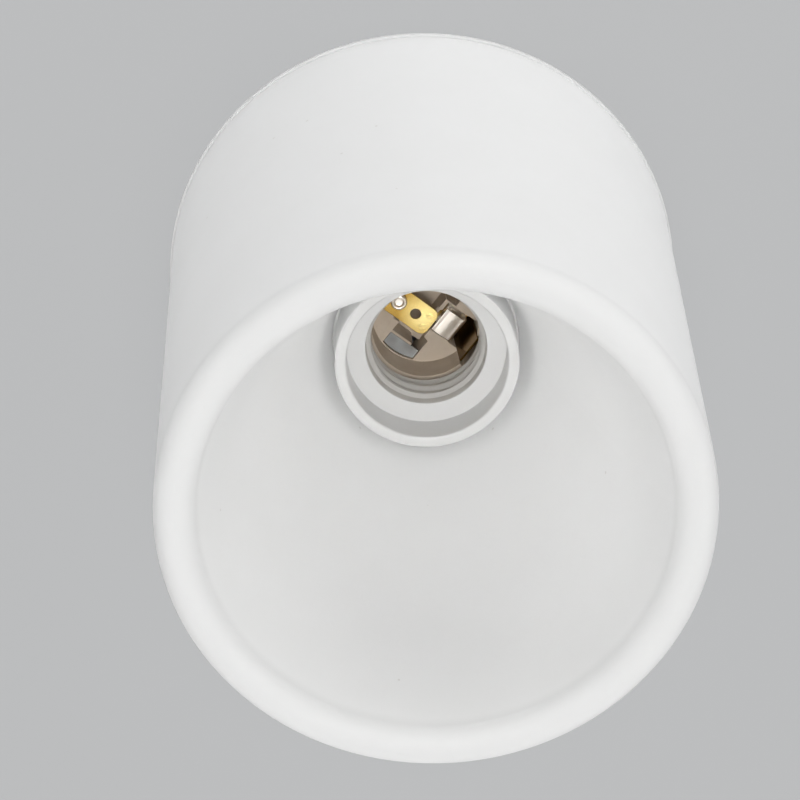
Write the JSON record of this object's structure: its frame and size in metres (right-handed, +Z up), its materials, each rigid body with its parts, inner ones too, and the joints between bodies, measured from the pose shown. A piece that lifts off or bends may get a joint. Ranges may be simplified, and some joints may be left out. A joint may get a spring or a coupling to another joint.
{
  "type": "batten lamp holder",
  "caption": "Ceiling lamp fitting: white cast cylinder with a rounded rim and an inner cone round a screw lamp holder with sprung contacts, closed by a pressed steel back plate.",
  "frame": {"origin": "centre of the face that meets the ceiling", "axes": "+Z up along the lamp's axis into the ceiling, +X along the line of the two fixing slots, +Y towards the side with the cable entry and the two shade screws"},
  "size_m": [0.121, 0.121, 0.14],
  "materials": {
    "cast_white": "matt white paint on a fine cast body",
    "painted_steel": "white satin paint",
    "white_screw": "white paint",
    "white_moulding": "white moulded, softly glossy",
    "beige_moulding": "beige moulded, fine grain",
    "brass": "rolled sheet",
    "nickel": "nickel plated",
    "zinc_steel": "zinc plated",
    "grommet_rubber": "matt"
  },
  "bodies": {
    "fixture": {"shade": "cast_white", "back_plate": "painted_steel", "clinch_nut_1": "zinc_steel", "clinch_nut_2": "zinc_steel", "shade_screw_1": "white_screw", "shade_screw_2": "white_screw", "holder_shell": "white_moulding", "holder_cap": "white_moulding", "contact_block": "beige_moulding", "window_tab": "zinc_steel", "centre_rivet": "nickel", "side_rivet": "nickel", "terminal_clamp_1": "brass", "terminal_clamp_2": "brass", "terminal_screw_1": "zinc_steel", "terminal_screw_2": "zinc_steel", "holder_screw_1": "zinc_steel", "holder_screw_2": "zinc_steel", "cable_grommet": "grommet_rubber", "earth_screw": "zinc_steel", "earth_washer": "zinc_steel"},
    "centre_contact": {"centre_contact": "brass"},
    "side_contact": {"side_contact": "brass", "side_spring": "nickel"}
  },
  "joints": [
    {"name": "centre_contact_press", "type": "hinge", "parent": "fixture", "child": "centre_contact", "pos_m": [-0.00614, -0.00331, -0.0266], "axis": [0.6018, -0.7986, 0], "range_deg": [0, 6], "stiffness_Nm_per_rad": 0.25},
    {"name": "side_contact_press", "type": "hinge", "parent": "fixture", "child": "side_contact", "pos_m": [0.00593, 0.00259, -0.0206], "axis": [0.6018, -0.7986, 0], "range_deg": [0, 3], "stiffness_Nm_per_rad": 0.8}
  ]
}
